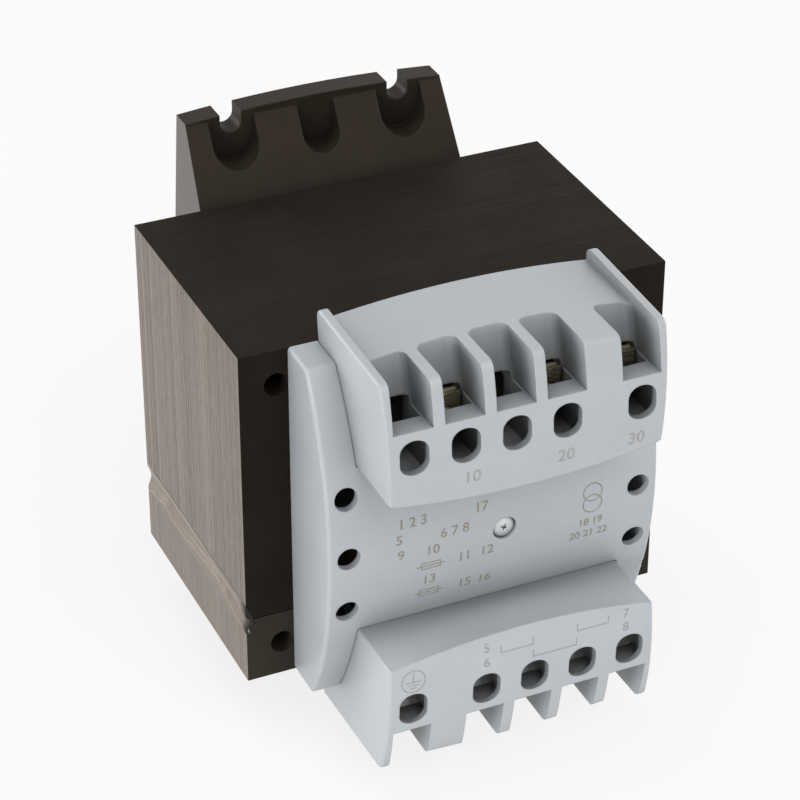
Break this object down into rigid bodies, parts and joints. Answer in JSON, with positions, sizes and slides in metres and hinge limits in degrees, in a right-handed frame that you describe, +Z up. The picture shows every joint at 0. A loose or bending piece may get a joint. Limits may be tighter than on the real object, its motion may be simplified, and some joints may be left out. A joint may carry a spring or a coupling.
{
  "type": "chassis mount transformer",
  "caption": "Chassis mount control transformer with a welded laminated core, a slotted rear base, an arched vented front cover and screw terminal blocks above and below.",
  "frame": {"origin": "centre of the rear mounting face, midway between the upper and the lower slotted ear", "axes": "+X to the right seen from the front, +Y out of the rear face towards the mounting plate, +Z up"},
  "size_m": [0.096, 0.1139, 0.1096],
  "materials": {
    "core": "dark varnish over stacked sheet edges",
    "weld": "varnished weld seam",
    "former": "moulded, matt black",
    "copper": "enamelled copper wire",
    "wrap": "dark insulating tape",
    "base": "moulded, satin charcoal",
    "shell": "moulded, satin light bluish grey",
    "fixing": "zinc plated",
    "contact": "tin plated brass",
    "clamp": "plated steel, dulled",
    "lead": "enamelled copper wire"
  },
  "bodies": {
    "root": {"e_core_stack": "core", "i_core_stack": "core", "weld_bead_left": "weld", "weld_bead_right": "weld", "bobbin": "former", "primary_winding": "copper", "secondary_winding": "copper", "primary_wrap": "wrap", "secondary_wrap": "wrap", "rear_base": "base", "base_screw_left": "fixing", "base_screw_right": "fixing", "front_cover": "shell", "cover_screw": "fixing", "primary_terminal_block": "shell", "secondary_terminal_block": "shell", "earth_tag": "contact", "earth_clamp": "clamp", "earth_screw": "fixing", "primary_tag_1": "contact", "primary_clamp_1": "clamp", "primary_screw_1": "fixing", "primary_lead_1": "lead", "primary_tag_2": "contact", "primary_clamp_2": "clamp", "primary_screw_2": "fixing", "primary_lead_2": "lead", "primary_tag_3": "contact", "primary_clamp_3": "clamp", "primary_screw_3": "fixing", "primary_lead_3": "lead", "secondary_tag_1": "contact", "secondary_clamp_1": "clamp", "secondary_screw_1": "fixing", "secondary_lead_1": "lead", "secondary_tag_2": "contact", "secondary_clamp_2": "clamp", "secondary_screw_2": "fixing", "secondary_lead_2": "lead", "secondary_tag_3": "contact", "secondary_clamp_3": "clamp", "secondary_screw_3": "fixing", "secondary_lead_3": "lead", "secondary_tag_4": "contact", "secondary_clamp_4": "clamp", "secondary_screw_4": "fixing", "secondary_lead_4": "lead"}
  },
  "joints": []
}
